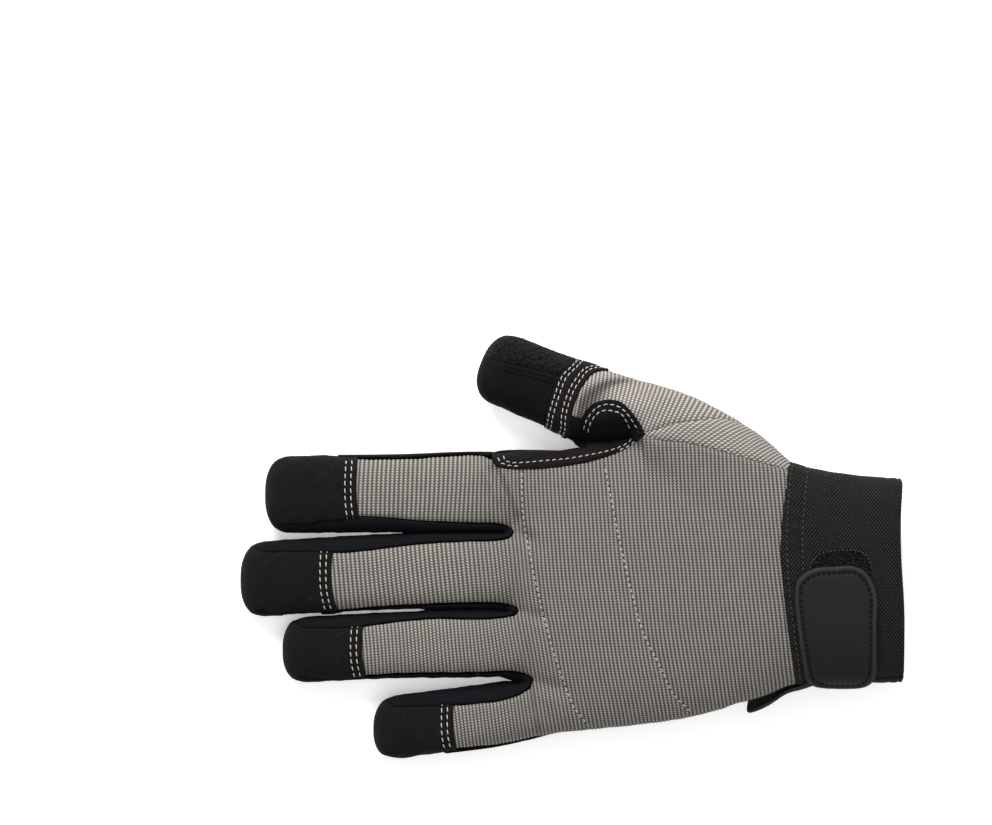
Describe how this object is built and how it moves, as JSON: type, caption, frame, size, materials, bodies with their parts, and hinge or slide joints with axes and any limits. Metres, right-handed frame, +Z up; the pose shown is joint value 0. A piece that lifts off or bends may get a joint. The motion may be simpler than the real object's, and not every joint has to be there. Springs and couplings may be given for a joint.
{
  "type": "mechanic glove",
  "caption": "Left work glove with a ribbed knit back, suede palm, fingertip caps and patches, an elastic cuff and a wrist strap.",
  "frame": {"origin": "middle of the glove's outline seen from above, on the surface it lies on", "axes": "+X from the fingertips to the cuff, +Y to the thumb side, +Z up from the palm to the back of the hand"},
  "size_m": [0.2502, 0.158, 0.0315],
  "materials": {
    "knit": "light grey ribbed stretch knit",
    "suede": "black synthetic suede with a dull nap",
    "smooth_stretch": "smooth black stretch fabric",
    "terry": "black looped terry",
    "elastic": "black woven elastic",
    "loop_pile": "black loop pile of the closure",
    "moulded_rubber": "dark grey moulded rubber, matt",
    "thread": "light grey polyester sewing thread"
  },
  "bodies": {
    "root": {"back_panel": "knit", "fingertip_cap_index": "suede", "fingertip_cap_middle": "suede", "fingertip_cap_ring": "suede", "fingertip_cap_little": "suede", "fourchette_index_middle": "smooth_stretch", "fourchette_middle_ring": "smooth_stretch", "fourchette_ring_little": "smooth_stretch", "palm_panel": "suede", "palm_patch": "suede", "thenar_patch": "suede", "thumb_back": "knit", "thumb_gusset": "knit", "thumb_tip_leather": "suede", "thumb_tip_terry": "terry", "thumb_band": "suede", "crotch_patch": "suede", "saddle_strip": "suede", "cuff_band": "elastic", "loop_patch": "loop_pile", "closure_strap": "suede", "closure_tab": "moulded_rubber", "pull_tab": "suede"}
  },
  "joints": []
}
